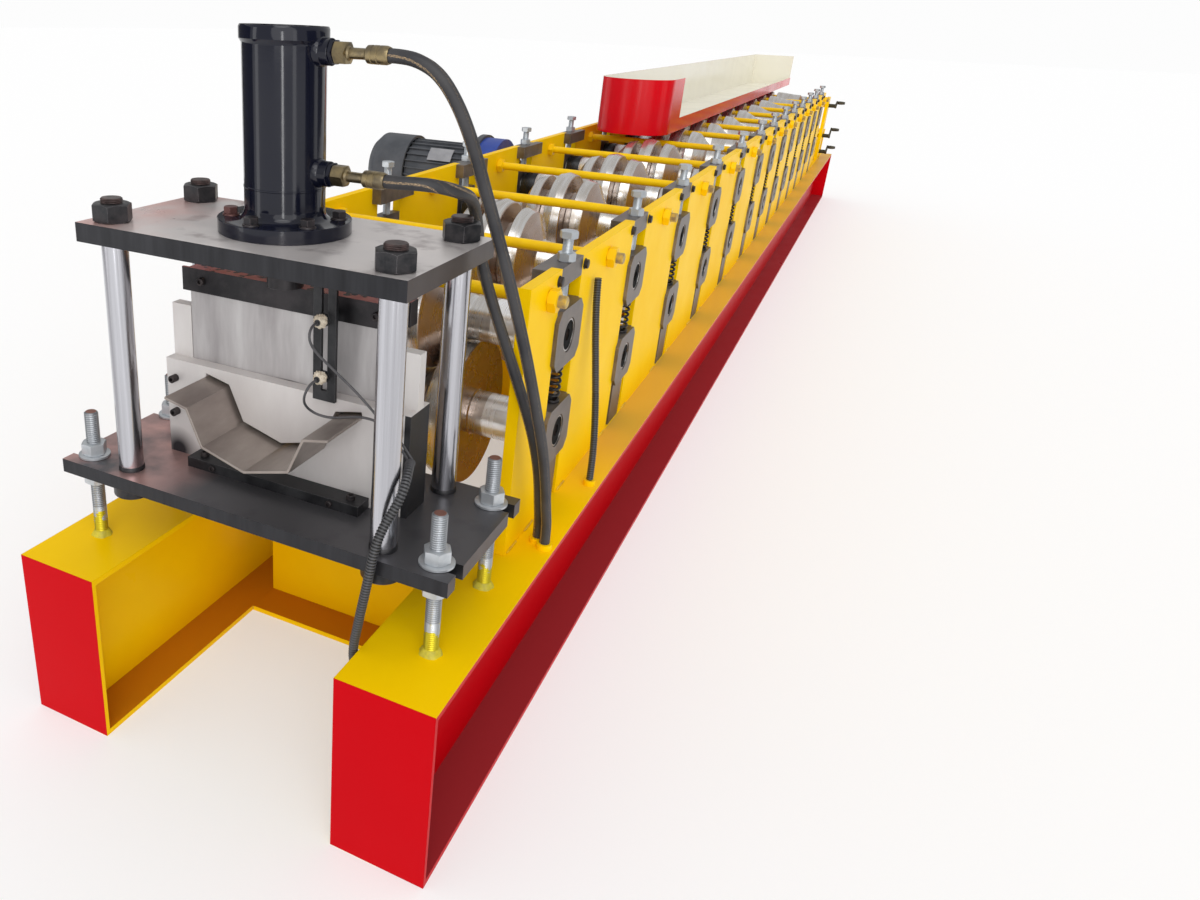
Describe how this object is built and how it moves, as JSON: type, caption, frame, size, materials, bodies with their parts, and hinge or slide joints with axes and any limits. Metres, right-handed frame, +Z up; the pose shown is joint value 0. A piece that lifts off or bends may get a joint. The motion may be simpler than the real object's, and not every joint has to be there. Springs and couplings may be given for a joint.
{
  "type": "roll forming machine",
  "caption": "Long welded beam frame with paired profile rolls that bend a steel strip, and a hydraulic cut-off press on the exit end.",
  "frame": {"origin": "floor level, at the centre of the rectangle of floor that the machine covers", "axes": "+Y runs along the machine from the press at the exit end to the entry end, +X to the right seen from the press, +Z up"},
  "size_m": [1.61, 8.79, 1.456],
  "materials": {
    "black_paint": "gloss",
    "black_steel": "oiled",
    "chain_steel": "oiled",
    "conduit_plastic": "ribbed",
    "gearbox_paint": "satin",
    "ground_steel": "ground",
    "hose_rubber": "matt",
    "motor_paint": "satin",
    "pillar_chrome": "polished",
    "red_paint": "gloss",
    "roll_steel": "polished",
    "yellow_paint": "gloss",
    "zinc": "zinc plated"
  },
  "bodies": {
    "machine": {"adjusting_screws": "zinc", "base_beam_left": "yellow_paint", "base_beam_right": "yellow_paint", "bearing_blocks": "black_steel", "blade_guides": "ground_steel", "block_springs": "black_steel", "chain_guard": "red_paint", "cross_beams": "yellow_paint", "die_clamps": "black_steel", "die_plates": "ground_steel", "drive_chains": "chain_steel", "entry_guide": "yellow_paint", "formed_strip": "ground_steel", "gear_reducer": "gearbox_paint", "guide_pillars": "pillar_chrome", "hydraulic_cylinder": "black_paint", "lower_hose": "hose_rubber", "motor": "motor_paint", "motor_fan_cover": "motor_paint", "motor_stand": "yellow_paint", "plate_conduit": "conduit_plastic", "press_conduit": "conduit_plastic", "press_lower_plate": "black_steel", "press_studs": "zinc", "press_upper_plate": "black_steel", "sensor_cable_lower": "conduit_plastic", "sensor_cable_upper": "conduit_plastic", "sensor_rail": "black_steel", "side_plates": "yellow_paint", "slot_caps": "black_steel", "tie_rods": "yellow_paint", "upper_hose": "hose_rubber"},
    "ram": {"blade_holder": "black_steel", "shear_blade": "ground_steel"},
    "lower_shaft_01": {"lower_rolls_01": "roll_steel"},
    "lower_shaft_02": {"lower_rolls_02": "roll_steel"},
    "lower_shaft_03": {"lower_rolls_03": "roll_steel"},
    "lower_shaft_04": {"lower_rolls_04": "roll_steel"},
    "lower_shaft_05": {"lower_rolls_05": "roll_steel"},
    "lower_shaft_06": {"lower_rolls_06": "roll_steel"},
    "lower_shaft_07": {"lower_rolls_07": "roll_steel"},
    "lower_shaft_08": {"lower_rolls_08": "roll_steel"},
    "lower_shaft_09": {"lower_rolls_09": "roll_steel"},
    "lower_shaft_10": {"lower_rolls_10": "roll_steel"},
    "lower_shaft_11": {"lower_rolls_11": "roll_steel"},
    "lower_shaft_12": {"lower_rolls_12": "roll_steel"},
    "lower_shaft_13": {"lower_rolls_13": "roll_steel"},
    "upper_shaft_01": {"upper_rolls_01": "roll_steel"},
    "upper_shaft_02": {"upper_rolls_02": "roll_steel"},
    "upper_shaft_03": {"upper_rolls_03": "roll_steel"},
    "upper_shaft_04": {"upper_rolls_04": "roll_steel"},
    "upper_shaft_05": {"upper_rolls_05": "roll_steel"},
    "upper_shaft_06": {"upper_rolls_06": "roll_steel"},
    "upper_shaft_07": {"upper_rolls_07": "roll_steel"},
    "upper_shaft_08": {"upper_rolls_08": "roll_steel"},
    "upper_shaft_09": {"upper_rolls_09": "roll_steel"},
    "upper_shaft_10": {"upper_rolls_10": "roll_steel"},
    "upper_shaft_11": {"upper_rolls_11": "roll_steel"},
    "upper_shaft_12": {"upper_rolls_12": "roll_steel"},
    "upper_shaft_13": {"upper_rolls_13": "roll_steel"}
  },
  "joints": [
    {"name": "ram_stroke", "type": "slide", "parent": "machine", "child": "ram", "axis": [0, 0, -1], "range_m": [0, 0.14]},
    {"name": "lower_shaft_01_turn", "type": "hinge", "parent": "machine", "child": "lower_shaft_01", "pos_m": [0.285, -3.591, 0.6], "axis": [1, 0, 0], "continuous": true},
    {"name": "upper_shaft_01_turn", "type": "hinge", "parent": "machine", "child": "upper_shaft_01", "pos_m": [0.285, -3.591, 0.835], "axis": [1, 0, 0], "continuous": true},
    {"name": "lower_shaft_02_turn", "type": "hinge", "parent": "machine", "child": "lower_shaft_02", "pos_m": [0.285, -2.981, 0.6], "axis": [1, 0, 0], "continuous": true},
    {"name": "upper_shaft_02_turn", "type": "hinge", "parent": "machine", "child": "upper_shaft_02", "pos_m": [0.285, -2.981, 0.835], "axis": [1, 0, 0], "continuous": true},
    {"name": "lower_shaft_03_turn", "type": "hinge", "parent": "machine", "child": "lower_shaft_03", "pos_m": [0.285, -2.371, 0.6], "axis": [1, 0, 0], "continuous": true},
    {"name": "upper_shaft_03_turn", "type": "hinge", "parent": "machine", "child": "upper_shaft_03", "pos_m": [0.285, -2.371, 0.835], "axis": [1, 0, 0], "continuous": true},
    {"name": "lower_shaft_04_turn", "type": "hinge", "parent": "machine", "child": "lower_shaft_04", "pos_m": [0.285, -1.761, 0.6], "axis": [1, 0, 0], "continuous": true},
    {"name": "upper_shaft_04_turn", "type": "hinge", "parent": "machine", "child": "upper_shaft_04", "pos_m": [0.285, -1.761, 0.835], "axis": [1, 0, 0], "continuous": true},
    {"name": "lower_shaft_05_turn", "type": "hinge", "parent": "machine", "child": "lower_shaft_05", "pos_m": [0.285, -1.151, 0.6], "axis": [1, 0, 0], "continuous": true},
    {"name": "upper_shaft_05_turn", "type": "hinge", "parent": "machine", "child": "upper_shaft_05", "pos_m": [0.285, -1.151, 0.835], "axis": [1, 0, 0], "continuous": true},
    {"name": "lower_shaft_06_turn", "type": "hinge", "parent": "machine", "child": "lower_shaft_06", "pos_m": [0.285, -0.541, 0.6], "axis": [1, 0, 0], "continuous": true},
    {"name": "upper_shaft_06_turn", "type": "hinge", "parent": "machine", "child": "upper_shaft_06", "pos_m": [0.285, -0.541, 0.835], "axis": [1, 0, 0], "continuous": true},
    {"name": "lower_shaft_07_turn", "type": "hinge", "parent": "machine", "child": "lower_shaft_07", "pos_m": [0.285, -0.041, 0.6], "axis": [1, 0, 0], "continuous": true},
    {"name": "upper_shaft_07_turn", "type": "hinge", "parent": "machine", "child": "upper_shaft_07", "pos_m": [0.285, -0.041, 0.835], "axis": [1, 0, 0], "continuous": true},
    {"name": "lower_shaft_08_turn", "type": "hinge", "parent": "machine", "child": "lower_shaft_08", "pos_m": [0.285, 0.459, 0.6], "axis": [1, 0, 0], "continuous": true},
    {"name": "upper_shaft_08_turn", "type": "hinge", "parent": "machine", "child": "upper_shaft_08", "pos_m": [0.285, 0.459, 0.835], "axis": [1, 0, 0], "continuous": true},
    {"name": "lower_shaft_09_turn", "type": "hinge", "parent": "machine", "child": "lower_shaft_09", "pos_m": [0.285, 0.959, 0.6], "axis": [1, 0, 0], "continuous": true},
    {"name": "upper_shaft_09_turn", "type": "hinge", "parent": "machine", "child": "upper_shaft_09", "pos_m": [0.285, 0.959, 0.835], "axis": [1, 0, 0], "continuous": true},
    {"name": "lower_shaft_10_turn", "type": "hinge", "parent": "machine", "child": "lower_shaft_10", "pos_m": [0.285, 1.459, 0.6], "axis": [1, 0, 0], "continuous": true},
    {"name": "upper_shaft_10_turn", "type": "hinge", "parent": "machine", "child": "upper_shaft_10", "pos_m": [0.285, 1.459, 0.835], "axis": [1, 0, 0], "continuous": true},
    {"name": "lower_shaft_11_turn", "type": "hinge", "parent": "machine", "child": "lower_shaft_11", "pos_m": [0.285, 1.959, 0.6], "axis": [1, 0, 0], "continuous": true},
    {"name": "upper_shaft_11_turn", "type": "hinge", "parent": "machine", "child": "upper_shaft_11", "pos_m": [0.285, 1.959, 0.835], "axis": [1, 0, 0], "continuous": true},
    {"name": "lower_shaft_12_turn", "type": "hinge", "parent": "machine", "child": "lower_shaft_12", "pos_m": [0.285, 2.459, 0.6], "axis": [1, 0, 0], "continuous": true},
    {"name": "upper_shaft_12_turn", "type": "hinge", "parent": "machine", "child": "upper_shaft_12", "pos_m": [0.285, 2.459, 0.835], "axis": [1, 0, 0], "continuous": true},
    {"name": "lower_shaft_13_turn", "type": "hinge", "parent": "machine", "child": "lower_shaft_13", "pos_m": [0.285, 2.959, 0.6], "axis": [1, 0, 0], "continuous": true},
    {"name": "upper_shaft_13_turn", "type": "hinge", "parent": "machine", "child": "upper_shaft_13", "pos_m": [0.285, 2.959, 0.835], "axis": [1, 0, 0], "continuous": true}
  ],
  "couplings": [
    {"joint": "upper_shaft_01_turn", "follows": "lower_shaft_01_turn", "ratio": -1},
    {"joint": "lower_shaft_02_turn", "follows": "lower_shaft_01_turn", "ratio": 1},
    {"joint": "upper_shaft_02_turn", "follows": "lower_shaft_01_turn", "ratio": -1},
    {"joint": "lower_shaft_03_turn", "follows": "lower_shaft_01_turn", "ratio": 1},
    {"joint": "upper_shaft_03_turn", "follows": "lower_shaft_01_turn", "ratio": -1},
    {"joint": "lower_shaft_04_turn", "follows": "lower_shaft_01_turn", "ratio": 1},
    {"joint": "upper_shaft_04_turn", "follows": "lower_shaft_01_turn", "ratio": -1},
    {"joint": "lower_shaft_05_turn", "follows": "lower_shaft_01_turn", "ratio": 1},
    {"joint": "upper_shaft_05_turn", "follows": "lower_shaft_01_turn", "ratio": -1},
    {"joint": "lower_shaft_06_turn", "follows": "lower_shaft_01_turn", "ratio": 1},
    {"joint": "upper_shaft_06_turn", "follows": "lower_shaft_01_turn", "ratio": -1},
    {"joint": "lower_shaft_07_turn", "follows": "lower_shaft_01_turn", "ratio": 1},
    {"joint": "upper_shaft_07_turn", "follows": "lower_shaft_01_turn", "ratio": -1},
    {"joint": "lower_shaft_08_turn", "follows": "lower_shaft_01_turn", "ratio": 1},
    {"joint": "upper_shaft_08_turn", "follows": "lower_shaft_01_turn", "ratio": -1},
    {"joint": "lower_shaft_09_turn", "follows": "lower_shaft_01_turn", "ratio": 1},
    {"joint": "upper_shaft_09_turn", "follows": "lower_shaft_01_turn", "ratio": -1},
    {"joint": "lower_shaft_10_turn", "follows": "lower_shaft_01_turn", "ratio": 1},
    {"joint": "upper_shaft_10_turn", "follows": "lower_shaft_01_turn", "ratio": -1},
    {"joint": "lower_shaft_11_turn", "follows": "lower_shaft_01_turn", "ratio": 1},
    {"joint": "upper_shaft_11_turn", "follows": "lower_shaft_01_turn", "ratio": -1},
    {"joint": "lower_shaft_12_turn", "follows": "lower_shaft_01_turn", "ratio": 1},
    {"joint": "upper_shaft_12_turn", "follows": "lower_shaft_01_turn", "ratio": -1},
    {"joint": "lower_shaft_13_turn", "follows": "lower_shaft_01_turn", "ratio": 1},
    {"joint": "upper_shaft_13_turn", "follows": "lower_shaft_01_turn", "ratio": -1}
  ]
}
